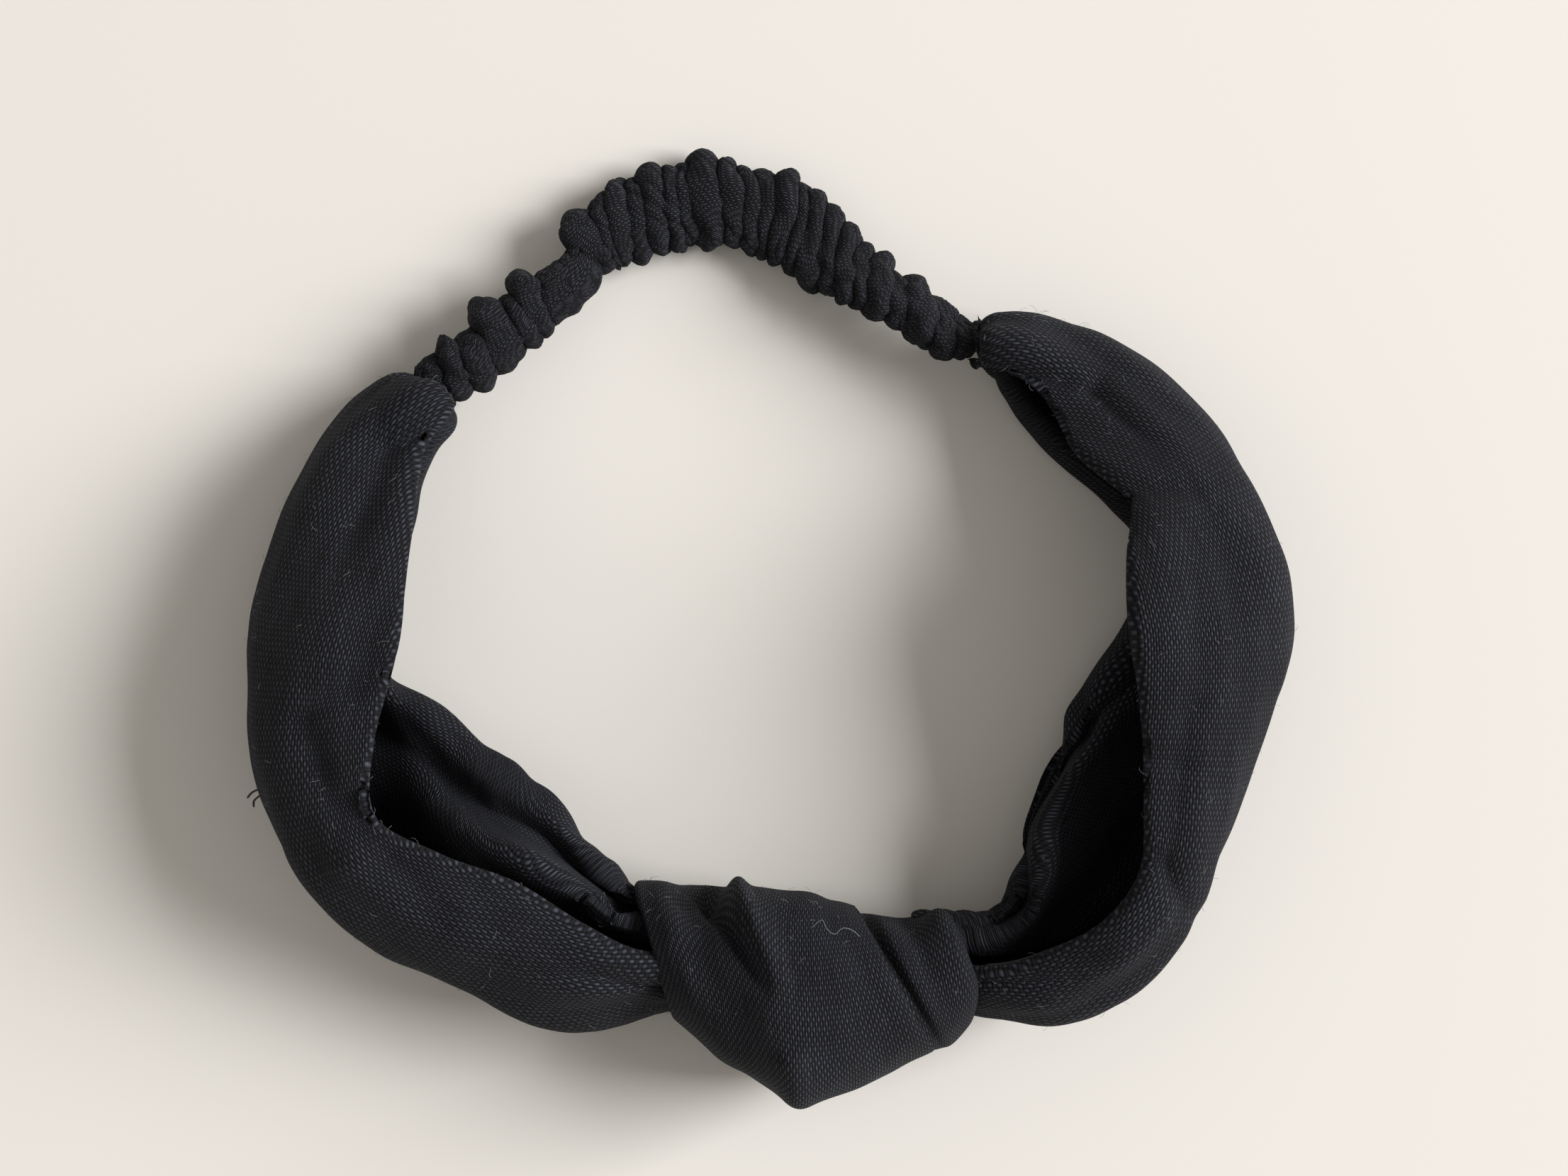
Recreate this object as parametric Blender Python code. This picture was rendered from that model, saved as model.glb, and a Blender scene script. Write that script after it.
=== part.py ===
"""Knotted headband: a flat linen tube tied once at the front, closed at the back by ruched elastic.

It lies on a table, +Z up. The knot points along -Y and the elastic along +Y.
"""

import math

import bmesh
import bpy
from mathutils import Vector

MM = 0.001

# Cloth and thread.
CLOTH = 0.8 * MM
CLOTH_SPACING = 1.2 * MM
KNOT_WALL = 2.4 * MM
KNOT_CORE_CLEARANCE = 2.0 * MM
CASING_WALL = 0.7 * MM
THREAD_RADIUS = 0.25 * MM
THREAD_CLEARANCE = 0.4 * MM
JOIN_STITCH_STAND_OFF = 0.8
CASING_SEAM_STAND_OFF = 0.6

# Elastic inside the casing.
ELASTIC_WIDTH = 4.6 * MM
ELASTIC_THICKNESS = 0.8 * MM

# How finely each piece is drawn.
ARM_STATIONS = 34
ARM_SECTION_POINTS = 13
KNOT_STATIONS = 11
KNOT_SECTION_POINTS = 24
CASING_STATIONS = 47
CASING_SECTION_POINTS = 12
CASING_RUCHE = 0.45

# How full each closed section is, from 1 for an oval down towards 0 for a box.
KNOT_FULLNESS_ACROSS = 0.85
KNOT_FULLNESS_UP = 0.9
CASING_FULLNESS = 0.8

# How far below the table the knot's sections reach before they are pressed flat on it.
KNOT_PRESSED_DEPTH = 1.6

# Each arm from its gathered end at the elastic to the knot, in mm: the outer side, the pressed
# ridge along the top, the lower lip, then the heights of the floor, the ridge and the lip.
LEFT_ARM = (
    ((-62.5, 47.4), (-56.8, 42.6), (-56.3, 42.0), 4.2, 16.4, 6.4),
    ((-69.9, 43.1), (-56.6, 37.1), (-54.5, 36.3), 2.6, 18.5, 6.0),
    ((-77.5, 34.5), (-56.5, 29.0), (-55.8, 27.8), 1.4, 21.5, 5.5),
    ((-85.6, 20.5), (-61.3, 14.0), (-62.8, 12.5), 1.1, 28.0, 6.0),
    ((-91.5, 5.6), (-64.0, 2.0), (-68.0, 1.0), 1.1, 34.0, 6.0),
    ((-93.2, -8.5), (-65.5, -8.0), (-66.0, -8.5), 1.1, 36.0, 7.0),
    ((-90.8, -25.2), (-68.8, -19.5), (-58.0, -15.5), 1.1, 35.5, 9.0),
    ((-83.1, -43.4), (-68.0, -33.5), (-50.5, -21.5), 1.1, 34.0, 11.0),
    ((-69.2, -58.0), (-56.5, -39.5), (-41.5, -26.5), 1.1, 32.5, 13.0),
    ((-52.5, -66.6), (-44.2, -44.0), (-36.0, -31.0), 1.1, 31.0, 14.5),
    ((-35.5, -71.5), (-32.5, -51.2), (-30.5, -38.5), 1.1, 29.5, 15.5),
    ((-19.0, -69.5), (-23.5, -57.0), (-25.0, -46.0), 2.0, 26.0, 15.0),
)
RIGHT_ARM = (
    ((37.8, 55.8), (36.8, 47.2), (36.6, 46.8), 4.2, 16.6, 6.4),
    ((45.3, 57.0), (41.6, 45.2), (40.6, 43.8), 3.0, 18.0, 6.4),
    ((52.8, 55.0), (47.2, 41.0), (43.8, 38.0), 2.0, 18.5, 6.0),
    ((66.5, 47.5), (53.5, 31.2), (49.8, 29.0), 1.1, 21.0, 5.6),
    ((81.3, 33.3), (60.6, 22.8), (59.0, 22.0), 1.1, 27.5, 5.6),
    ((90.6, 15.5), (64.0, 11.0), (66.5, 11.0), 1.1, 34.5, 6.0),
    ((93.2, 1.3), (64.5, 0.5), (64.0, -1.5), 1.1, 36.5, 7.0),
    ((90.0, -14.1), (65.3, -11.0), (57.0, -11.5), 1.1, 36.0, 8.0),
    ((84.3, -32.2), (65.6, -26.5), (51.5, -22.5), 1.1, 35.0, 10.0),
    ((77.2, -48.9), (65.8, -42.5), (46.5, -33.5), 1.1, 33.5, 12.5),
    ((66.0, -62.9), (60.5, -52.0), (44.8, -41.5), 1.1, 31.5, 15.0),
    ((51.0, -68.9), (50.0, -57.6), (43.4, -46.5), 1.1, 28.5, 16.0),
    ((39.6, -67.6), (41.5, -60.0), (39.6, -50.6), 2.0, 25.5, 16.0),
)

# The wide diagonal wrap of the knot from left to right, in mm: its back, its front and its top.
KNOT_WRAP = (
    ((-23.4, -44.8), (-15.6, -68.6), 27.0),
    ((-14.6, -44.2), (-8.0, -75.0), 32.0),
    ((-5.6, -44.9), (-0.6, -81.2), 35.0),
    ((4.7, -46.6), (7.0, -85.2), 36.0),
    ((12.0, -48.6), (19.8, -80.8), 34.5),
    ((17.9, -50.3), (31.4, -75.2), 30.5),
)
# The pass of the band that comes out from under the wrap on the right.
KNOT_UNDER_PASS = (
    ((19.2, -49.0), (32.3, -73.2), 28.0),
    ((26.5, -48.2), (35.5, -71.8), 29.5),
    ((34.0, -48.6), (38.2, -69.2), 27.0),
)

# The elastic casing from the left arm to the right one, in mm: its middle line, half its width,
# half its thickness, and its roll in degrees.
CASING = (
    (-61.8, 43.0, 10.3, 3.4, 2.3, 62),
    (-59.6, 45.0, 10.1, 3.9, 2.6, 64),
    (-54.5, 48.6, 9.6, 4.8, 3.5, 68),
    (-47.6, 53.4, 9.1, 5.1, 3.9, 60),
    (-40.6, 58.5, 8.8, 5.4, 3.9, 42),
    (-35.0, 64.2, 8.0, 6.2, 3.6, 22),
    (-30.0, 69.9, 6.5, 7.2, 3.3, 6),
    (-22.2, 74.2, 5.2, 8.0, 3.1, 0),
    (-13.7, 76.6, 4.8, 8.2, 3.0, 0),
    (-3.8, 76.0, 4.8, 8.2, 3.0, 0),
    (4.7, 72.6, 5.2, 8.0, 3.1, 0),
    (11.7, 66.7, 6.4, 7.0, 3.3, -10),
    (18.7, 61.6, 8.4, 6.0, 3.6, -30),
    (25.7, 56.9, 9.2, 5.3, 3.9, -50),
    (32.0, 53.1, 9.8, 4.6, 3.5, -66),
    (37.0, 51.5, 10.3, 3.9, 2.6, -70),
    (39.6, 51.3, 10.4, 3.5, 2.4, -70),
)

# A thread end that stands out of the left arm's outer side.
LOOSE_THREAD = (
    (-90.2, -29.4, 12.4),
    (-91.6, -29.9, 12.9),
    (-92.7, -30.5, 12.0),
    (-93.3, -31.6, 11.0),
)


def clear_scene():
    for obj in list(bpy.data.objects):
        bpy.data.objects.remove(obj, do_unlink=True)


def material(name, colour, roughness):
    mat = bpy.data.materials.new(name)
    mat.use_nodes = True
    shader = mat.node_tree.nodes["Principled BSDF"]
    shader.inputs["Base Color"].default_value = (*colour, 1.0)
    shader.inputs["Roughness"].default_value = roughness
    shader.inputs["Metallic"].default_value = 0.0
    return mat


def flat(row):
    """One row of numbers, with its pairs opened out."""
    numbers = []
    for item in row:
        numbers.extend(item if isinstance(item, tuple) else (item,))
    return numbers


def smooth_row(rows, place):
    """The row at a place from 0 to 1 on a smooth curve through all the rows."""
    along = place * (len(rows) - 1)
    start = min(int(along), len(rows) - 2)
    t = along - start
    before, a, b, after = (rows[min(max(start + k, 0), len(rows) - 1)] for k in (-1, 0, 1, 2))
    blended = []
    for p, q, r, s in zip(before, a, b, after):
        curve = (2 * p - 5 * q + 4 * r - s) * t * t + (3 * q - p - 3 * r + s) * t ** 3
        blended.append(q + 0.5 * ((r - p) * t + curve))
    return blended


def stations(table, count):
    rows = [flat(row) for row in table]
    return [smooth_row(rows, i / (count - 1)) for i in range(count)]


def arm_section(row):
    """Points of one C-shaped section, from the lower lip round the outside to the pressed ridge."""
    outer, ridge, lip = Vector(row[0:2]), Vector(row[2:4]), Vector(row[4:6])
    floor, top, lip_height = row[6:9]
    rise = top - floor
    keys = (
        (*lip, lip_height),
        (*lip.lerp(outer, 0.35), floor + 0.12 * (lip_height - floor)),
        (*lip.lerp(outer, 0.78), floor),
        (*outer, floor + 0.42 * rise),
        (*outer.lerp(ridge, 0.10), floor + 0.78 * rise),
        (*outer.lerp(ridge, 0.52), floor + 0.97 * rise),
        (*ridge, top),
    )
    count = ARM_SECTION_POINTS
    points = [Vector(smooth_row(keys, i / (count - 1))) * MM for i in range(count)]
    for point in points:
        point.z = max(point.z, floor * MM)
    return points


def full_wave(wave, fullness):
    """A sine or cosine made fuller, so that a section drawn with it is squarer."""
    return math.copysign(abs(wave) ** fullness, wave)


def loop_section(back, front, top, inset=0.0):
    """One closed section of the knot, flat underneath, between its back and front points."""
    middle = (back + front) / 2
    reach = (front - back) / 2
    reach = reach.normalized() * (reach.length - inset)
    low = inset - KNOT_PRESSED_DEPTH
    half_height = (top - inset - low) / 2
    points = []
    for i in range(KNOT_SECTION_POINTS):
        turn = 2 * math.pi * i / KNOT_SECTION_POINTS
        up = full_wave(math.sin(turn), KNOT_FULLNESS_UP)
        place = middle + reach * full_wave(math.cos(turn), KNOT_FULLNESS_ACROSS)
        height = low + half_height * (1 + up)
        points.append(Vector((*place, max(height, inset))) * MM)
    return points


def casing_section(rows, i, shrink=0.0):
    """One closed section of the casing; its width swells and shrinks by turns where it is gathered."""
    x, y, z, half_width, half_thick, roll = rows[i]
    ahead = Vector(rows[min(i + 1, len(rows) - 1)][:3]) - Vector(rows[max(i - 1, 0)][:3])
    ahead.normalize()
    level = Vector((0, 0, 1)).cross(ahead).normalized()
    upright = ahead.cross(level)
    turn = math.radians(roll)
    wide = level * math.cos(turn) + upright * math.sin(turn)
    thick = upright * math.cos(turn) - level * math.sin(turn)
    ruche = CASING_RUCHE * (1 if i % 2 else -1) if 1 < i < len(rows) - 2 else -CASING_RUCHE
    side = wide * (half_width + ruche - shrink)
    face = thick * (half_thick + ruche - shrink)
    points = []
    for k in range(CASING_SECTION_POINTS):
        angle = 2 * math.pi * k / CASING_SECTION_POINTS
        across = full_wave(math.cos(angle), CASING_FULLNESS)
        through = full_wave(math.sin(angle), CASING_FULLNESS)
        points.append((Vector((x, y, z)) + side * across + face * through) * MM)
    return points, wide


def extrude_rings(bm, rings, closed):
    """Draws the first ring, then extrudes it through all the others.

    It returns the corners ring by ring, and the first and the last ring's edges.
    """
    verts = [bm.verts.new(point) for point in rings[0]]
    pairs = list(zip(verts, verts[1:] + verts[:1]))
    edges = [bm.edges.new(pair) for pair in (pairs if closed else pairs[:-1])]
    first = edges
    rows = [verts]
    for ring in rings[1:]:
        made = bmesh.ops.extrude_edge_only(bm, edges=edges)["geom"]
        new = {item for item in made if isinstance(item, bmesh.types.BMVert)}
        edges = [item for item in made if isinstance(item, bmesh.types.BMEdge)]
        verts = [next(e.other_vert(v) for e in v.link_edges if e.other_vert(v) in new) for v in verts]
        for vert, point in zip(verts, ring):
            vert.co = point
        edges = [edge for edge in edges if edge.verts[0] in new and edge.verts[1] in new]
        rows.append(verts)
    return rows, first, edges


def add_object(name, bm, mat):
    mesh = bpy.data.meshes.new(name)
    bm.to_mesh(mesh)
    bm.free()
    mesh.shade_smooth()
    mesh.materials.append(mat)
    obj = bpy.data.objects.new(name, mesh)
    bpy.context.collection.objects.link(obj)
    return obj


def thicken(obj, thickness, offset):
    solidify = obj.modifiers.new("cloth thickness", "SOLIDIFY")
    solidify.thickness = thickness
    solidify.offset = offset
    solidify.use_even_offset = False
    solidify.use_quality_normals = True


def face_away_from(bm, inside):
    """Turns a sheet's faces so that its first one looks away from a point inside."""
    bm.normal_update()
    face = next(iter(bm.faces))
    if face.normal.dot(face.calc_center_median() - inside) < 0:
        bmesh.ops.reverse_faces(bm, faces=bm.faces)
    bm.normal_update()


def arm_sheet(table):
    """The surface midway between an arm's two layers, facing out, with its corners in rows."""
    rings = [arm_section(row) for row in stations(table, ARM_STATIONS)]
    bm = bmesh.new()
    rows, _, _ = extrude_rings(bm, rings, closed=False)
    face_away_from(bm, (rings[0][0] + rings[0][-1]) / 2)
    return bm, rows


def arm_panel(name, table, side, mat):
    """One of an arm's two cloth layers: side is 1 for the outer one and -1 for the lining."""
    bm, _ = arm_sheet(table)
    shifts = {vert: vert.normal * (side * CLOTH_SPACING / 2) for vert in bm.verts}
    for vert, shift in shifts.items():
        vert.co += shift
    obj = add_object(name, bm, mat)
    thicken(obj, CLOTH, 0.0)
    return obj


def thread(name, points, mat, closed=False):
    curve = bpy.data.curves.new(name, "CURVE")
    curve.dimensions = "3D"
    curve.bevel_depth = THREAD_RADIUS
    curve.bevel_resolution = 1
    curve.use_fill_caps = not closed
    spline = curve.splines.new("POLY")
    spline.points.add(len(points) - 1)
    for slot, point in zip(spline.points, points):
        slot.co = (*point, 1.0)
    spline.use_cyclic_u = closed
    curve.materials.append(mat)
    obj = bpy.data.objects.new(name, curve)
    bpy.context.collection.objects.link(obj)
    return obj


def edge_seam(name, table, mat):
    """The seam along the pressed ridge, where the two layers of an arm are sewn together."""
    points = []
    for row in stations(table, ARM_STATIONS)[1:-1]:
        section = arm_section(row)
        out = (section[-1] - section[-2]).normalized()
        points.append(section[-1] + out * (THREAD_RADIUS + THREAD_CLEARANCE))
    return thread(name, points, mat)


def pleat_stitching(name, table, mat):
    """The row of stitches that holds an arm's pleats, across the outside of its gathered end."""
    bm, rows = arm_sheet(table)
    stand_off = CLOTH_SPACING / 2 + CLOTH / 2 + THREAD_RADIUS + THREAD_CLEARANCE
    points = [vert.co + vert.normal * stand_off for vert in rows[1][1:-1]]
    bm.free()
    return thread(name, points, mat)


def join_stitching(name, at, mat):
    """The ring of stitches round the casing where it leaves an arm."""
    rows = stations(CASING, CASING_STATIONS)
    around, _ = casing_section(rows, at, shrink=-(JOIN_STITCH_STAND_OFF + CASING_RUCHE))
    return thread(name, around, mat, closed=True)


def knot_wrap(mat):
    rows = stations(KNOT_WRAP, KNOT_STATIONS)
    rings = [loop_section(Vector(row[0:2]), Vector(row[2:4]), row[4]) for row in rows]
    bm = bmesh.new()
    extrude_rings(bm, rings, closed=True)
    face_away_from(bm, sum(rings[0], Vector()) / KNOT_SECTION_POINTS)
    obj = add_object("knot_wrap", bm, mat)
    thicken(obj, KNOT_WALL, -1.0)
    return obj


def solid_loft(name, rings, mat):
    bm = bmesh.new()
    _, first, last = extrude_rings(bm, rings, closed=True)
    bmesh.ops.edgeloop_fill(bm, edges=first)
    bmesh.ops.edgeloop_fill(bm, edges=last)
    bmesh.ops.recalc_face_normals(bm, faces=bm.faces)
    return add_object(name, bm, mat)


def knot_core(mat):
    """The pass of the band held inside the wrap."""
    inset = KNOT_WALL / MM + KNOT_CORE_CLEARANCE / MM
    rows = stations(KNOT_WRAP, KNOT_STATIONS)[1:-1]
    rings = [loop_section(Vector(row[0:2]), Vector(row[2:4]), row[4], inset) for row in rows]
    return solid_loft("knot_core", rings, mat)


def knot_under_pass(mat):
    rows = stations(KNOT_UNDER_PASS, 5)
    rings = [loop_section(Vector(row[0:2]), Vector(row[2:4]), row[4]) for row in rows]
    return solid_loft("knot_under_pass", rings, mat)


def elastic_casing(mat):
    rows = stations(CASING, CASING_STATIONS)
    rings = [casing_section(rows, i)[0] for i in range(len(rows))]
    bm = bmesh.new()
    extrude_rings(bm, rings, closed=True)
    face_away_from(bm, sum(rings[0], Vector()) / CASING_SECTION_POINTS)
    obj = add_object("elastic_casing", bm, mat)
    thicken(obj, CASING_WALL, -1.0)
    return obj


def elastic_strip(mat):
    """The flat braided elastic that lies loose inside the casing."""
    rows = stations(CASING, CASING_STATIONS)
    rings = []
    for i, row in enumerate(rows):
        wide = casing_section(rows, i)[1]
        middle = Vector(row[:3]) * MM
        half = wide * ELASTIC_WIDTH / 2
        rings.append((middle - half, middle, middle + half))
    bm = bmesh.new()
    extrude_rings(bm, rings[1:-1], closed=False)
    obj = add_object("elastic_strip", bm, mat)
    thicken(obj, ELASTIC_THICKNESS, 0.0)
    return obj


def casing_seam(mat):
    """The seam that closes the casing, along its inner edge."""
    rows = stations(CASING, CASING_STATIONS)
    points = []
    for i in range(4, len(rows) - 4):
        wide = casing_section(rows, i)[1]
        reach = rows[i][3] + CASING_RUCHE + CASING_SEAM_STAND_OFF
        points.append((Vector(rows[i][:3]) - wide * reach) * MM)
    return thread("casing_seam_thread", points, mat)


def group(name, place, pieces):
    """An empty that carries one body's pieces."""
    empty = bpy.data.objects.new(name, None)
    empty.location = place
    bpy.context.collection.objects.link(empty)
    bpy.context.view_layer.update()
    for piece in pieces:
        piece.parent = empty
        piece.matrix_parent_inverse = empty.matrix_world.inverted()


def build():
    clear_scene()
    linen = material("charcoal linen", (0.035, 0.036, 0.042), 0.85)
    lining = material("charcoal linen lining", (0.028, 0.029, 0.034), 0.88)
    gauze = material("ruched casing cloth", (0.030, 0.031, 0.036), 0.88)
    sewing = material("black sewing thread", (0.012, 0.012, 0.014), 0.6)
    rubber = material("black braided elastic", (0.020, 0.020, 0.022), 0.7)
    front = [
        knot_wrap(linen),
        knot_core(linen),
        knot_under_pass(linen),
        thread("loose_thread_end", [Vector(point) * MM for point in LOOSE_THREAD], sewing),
    ]
    for side, table, joined_at in (("left", LEFT_ARM, 5), ("right", RIGHT_ARM, CASING_STATIONS - 6)):
        front.append(arm_panel(f"{side}_arm_outer_panel", table, 1, linen))
        front.append(arm_panel(f"{side}_arm_lining_panel", table, -1, lining))
        front.append(edge_seam(f"{side}_arm_edge_seam", table, sewing))
        front.append(pleat_stitching(f"{side}_pleat_stitching", table, sewing))
        front.append(join_stitching(f"{side}_join_stitching", joined_at, sewing))
    back = [elastic_casing(gauze), elastic_strip(rubber), casing_seam(sewing)]
    group("front_band", (0.0, 0.0, 0.0), front)
    group("elastic_back", tuple(value * MM for value in CASING[8][:3]), back)


build()
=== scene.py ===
import math
import random

import bmesh
import bpy
import numpy as np
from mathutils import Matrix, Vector, noise


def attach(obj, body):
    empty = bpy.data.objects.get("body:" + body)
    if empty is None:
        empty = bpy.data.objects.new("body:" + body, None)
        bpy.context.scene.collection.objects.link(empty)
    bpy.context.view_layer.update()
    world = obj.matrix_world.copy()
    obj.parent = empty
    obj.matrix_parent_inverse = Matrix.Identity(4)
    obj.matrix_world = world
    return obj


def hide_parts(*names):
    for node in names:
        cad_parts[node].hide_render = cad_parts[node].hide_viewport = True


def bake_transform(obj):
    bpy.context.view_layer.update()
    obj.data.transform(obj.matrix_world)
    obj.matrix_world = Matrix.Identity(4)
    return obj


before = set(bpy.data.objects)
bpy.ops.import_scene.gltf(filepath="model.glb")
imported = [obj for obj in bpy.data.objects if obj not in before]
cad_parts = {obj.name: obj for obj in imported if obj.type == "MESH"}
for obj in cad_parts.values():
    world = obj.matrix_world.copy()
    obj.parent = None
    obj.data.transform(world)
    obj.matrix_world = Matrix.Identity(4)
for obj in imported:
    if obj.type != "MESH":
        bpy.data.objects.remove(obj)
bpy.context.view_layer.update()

MM = 0.001

# --- Table, window light and camera -----------------------------------------------------------
# The headband lies on a pale table. One window stands off to the right, a little towards the
# elastic, and the room fills the shadows with a warmer light. The camera hangs straight above.

TABLE_HALF_WIDTH = 3.0
ROOM_STRENGTH = 0.43
WINDOW_PLACE = Vector((4.24, 0.68, 2.56))
WINDOW_WIDTH = 2.7
WINDOW_POWER = 410.0

table_mat = bpy.data.materials.new("pale table")
table_mat.use_nodes = True
shader = table_mat.node_tree.nodes["Principled BSDF"]
shader.inputs["Base Color"].default_value = (0.72, 0.70, 0.665, 1)
shader.inputs["Roughness"].default_value = 0.9
shader.inputs["Specular IOR Level"].default_value = 0.2

bm = bmesh.new()
bmesh.ops.create_grid(bm, x_segments=1, y_segments=1, size=TABLE_HALF_WIDTH)
table_mesh = bpy.data.meshes.new("table")
bm.to_mesh(table_mesh)
bm.free()
table_mesh.materials.append(table_mat)
table = bpy.data.objects.new("table", table_mesh)
bpy.context.collection.objects.link(table)

scene = bpy.context.scene
scene.view_settings.view_transform = "Standard"
scene.world = bpy.data.worlds.new("room")
scene.world.use_nodes = True
room = scene.world.node_tree.nodes["Background"]
room.inputs["Color"].default_value = (1.0, 0.95, 0.88, 1)
room.inputs["Strength"].default_value = ROOM_STRENGTH

window_light = bpy.data.lights.new("window", "AREA")
window_light.size = WINDOW_WIDTH
window_light.energy = WINDOW_POWER
window_light.color = (1.0, 0.99, 0.985)
window = bpy.data.objects.new("window", window_light)
window.location = WINDOW_PLACE
window.rotation_euler = (-WINDOW_PLACE).to_track_quat("-Z", "Y").to_euler()
bpy.context.collection.objects.link(window)

camera_data = bpy.data.cameras.new("camera")
camera_data.sensor_width = 36.0
camera_data.lens = 68.8
camera = bpy.data.objects.new("camera", camera_data)
camera.location = (0.0033, 0.0068, 0.55)
bpy.context.collection.objects.link(camera)
scene.camera = camera


# --- Left arm ---------------------------------------------------------------------------------
# One pass of the flat tube of charcoal linen, two layers thick. It is gathered into the join at
# the back, curls into a C round the side of the head, and bunches into three rolls at the knot.

# Sizes on the cloth are in mm. Places across an arm run from 0 at the lower lip to 1 past the ridge.
ARM_STATIONS = 270
ARM_ACROSS = 100
OUTER_SIDE = 60
FACE_MIDDLE = 78
OUTER_FACE_FROM = 0.58
OUTER_FACE_TO = 0.945
HALF_THICKNESS = 1.1
TABLE_CLEARANCE = 0.25
LAYER_RISE = 0.6
HEM_LENGTH = 3.0
HEM_TURN = 3.4

# Width, length and height of the folds that run along the cloth, then the size and height of
# the soft crumples between them.
LONG_FOLDS = (10.0, 38.0, 2.1)
FINE_FOLDS = (5.5, 17.0, 0.7)
SOFT_CRUMPLE = (26.0, 1.0)
FINE_CRUMPLE = (8.0, 0.35)

# The pleats: how close they lie, their height at the join and at the knot, and how far they run.
PLEAT_SPACING = 0.8
PLEAT_SWAY = (12.0, 1.0)
JOIN_PLEATS = (0.45, 6.0)
KNOT_PLEATS = (0.55, 7.0)

# Station by station from the join to the knot, in mm: the outer side, the pressed ridge along the
# top, the lower lip and the roll inside the hollow, then the heights of the floor, the ridge, the
# lip and the roll, and how deep the cloth dips between the lip and the roll.
LEFT_ARM = (
    ((-63.4, 46.4), (-57.4, 41.4), (-58.4, 41.0), (-60.0, 43.0), 4.4, 16.0, 6.6, 5.0, 0.0),
    ((-70.6, 42.8), (-57.8, 38.0), (-59.0, 37.0), (-63.5, 39.0), 2.8, 18.0, 6.2, 3.4, 0.0),
    ((-78.2, 33.8), (-62.4, 29.6), (-62.4, 29.6), (-68.0, 31.0), 1.6, 21.0, 5.2, 2.0, 0.0),
    ((-85.2, 20.0), (-63.4, 15.2), (-66.0, 14.0), (-73.0, 17.0), 1.4, 26.5, 5.6, 1.8, 0.0),
    ((-90.2, 5.2), (-64.3, 2.0), (-69.5, 1.0), (-77.0, 3.0), 1.4, 30.5, 6.0, 1.8, 0.0),
    ((-91.6, -8.7), (-65.8, -7.6), (-69.0, -9.0), (-77.0, -8.6), 1.4, 32.5, 7.0, 2.0, 0.0),
    ((-89.4, -25.0), (-68.6, -19.5), (-59.0, -16.2), (-71.0, -20.0), 1.4, 33.5, 9.0, 4.0, 0.3),
    ((-81.8, -42.6), (-68.0, -33.3), (-51.6, -22.3), (-61.5, -29.5), 1.4, 34.0, 11.0, 11.0, 1.5),
    ((-68.4, -56.6), (-56.8, -40.4), (-42.6, -27.6), (-52.0, -37.0), 1.4, 32.5, 13.5, 21.5, 5.0),
    ((-51.8, -65.2), (-44.0, -45.6), (-37.0, -32.3), (-42.6, -41.0), 1.4, 31.0, 15.5, 25.0, 7.5),
    ((-35.3, -70.0), (-32.5, -53.2), (-31.2, -39.6), (-32.2, -47.4), 1.4, 29.5, 17.0, 25.5, 8.5),
    ((-19.0, -68.4), (-23.0, -58.0), (-25.0, -46.2), (-24.2, -52.0), 2.0, 27.0, 17.5, 24.5, 8.0),
    ((-6.0, -65.0), (-10.0, -58.4), (-13.0, -48.9), (-12.0, -53.4), 5.0, 22.0, 15.0, 20.0, 4.0),
)

# Folds on the outer face, seen from above, in mm: from, to, height, and half width.
LEFT_CREASES = (
    ((-54.6, 35.4), (-69.0, 30.6), -4.2, 2.2),
    ((-56.0, 41.0), (-68.0, 37.0), 3.0, 4.4),
    ((-57.0, 30.0), (-66.0, 27.0), 1.3, 2.6),
    ((-61.0, 28.0), (-69.0, 2.0), 1.9, 3.0),
    ((-67.0, 31.0), (-76.0, 2.0), -2.3, 3.8),
    ((-65.0, -8.0), (-81.0, -13.0), -2.2, 3.0),
    ((-80.0, -16.0), (-72.0, -40.0), -2.2, 3.4),
    ((-71.0, -30.0), (-54.0, -53.0), -1.9, 3.4),
    ((-66.0, -36.0), (-76.0, -44.0), 1.2, 2.6),
    ((-18.0, -63.0), (-42.0, -58.0), -2.2, 1.9),
    ((-18.0, -68.0), (-40.0, -66.0), -1.4, 2.0),
    ((-20.0, -60.0), (-36.0, -54.5), 1.2, 1.5),
)


def smooth_row(rows, place):
    """The row at a place from 0 to 1 on a smooth curve through all the rows."""
    along = place * (len(rows) - 1)
    start = min(int(along), len(rows) - 2)
    t = along - start
    before, a, b, after = (rows[min(max(start + k, 0), len(rows) - 1)] for k in (-1, 0, 1, 2))
    blended = []
    for p, q, r, s in zip(before, a, b, after):
        curve = (2 * p - 5 * q + 4 * r - s) * t * t + (3 * q - p - 3 * r + s) * t ** 3
        blended.append(q + 0.5 * ((r - p) * t + curve))
    return blended


def stations(rows, count):
    """The rows with their pairs opened out, drawn smoothly at an even spacing."""
    flat = [[x for item in row for x in (item if isinstance(item, tuple) else (item,))] for row in rows]
    return [smooth_row(flat, i / (count - 1)) for i in range(count)]


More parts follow.
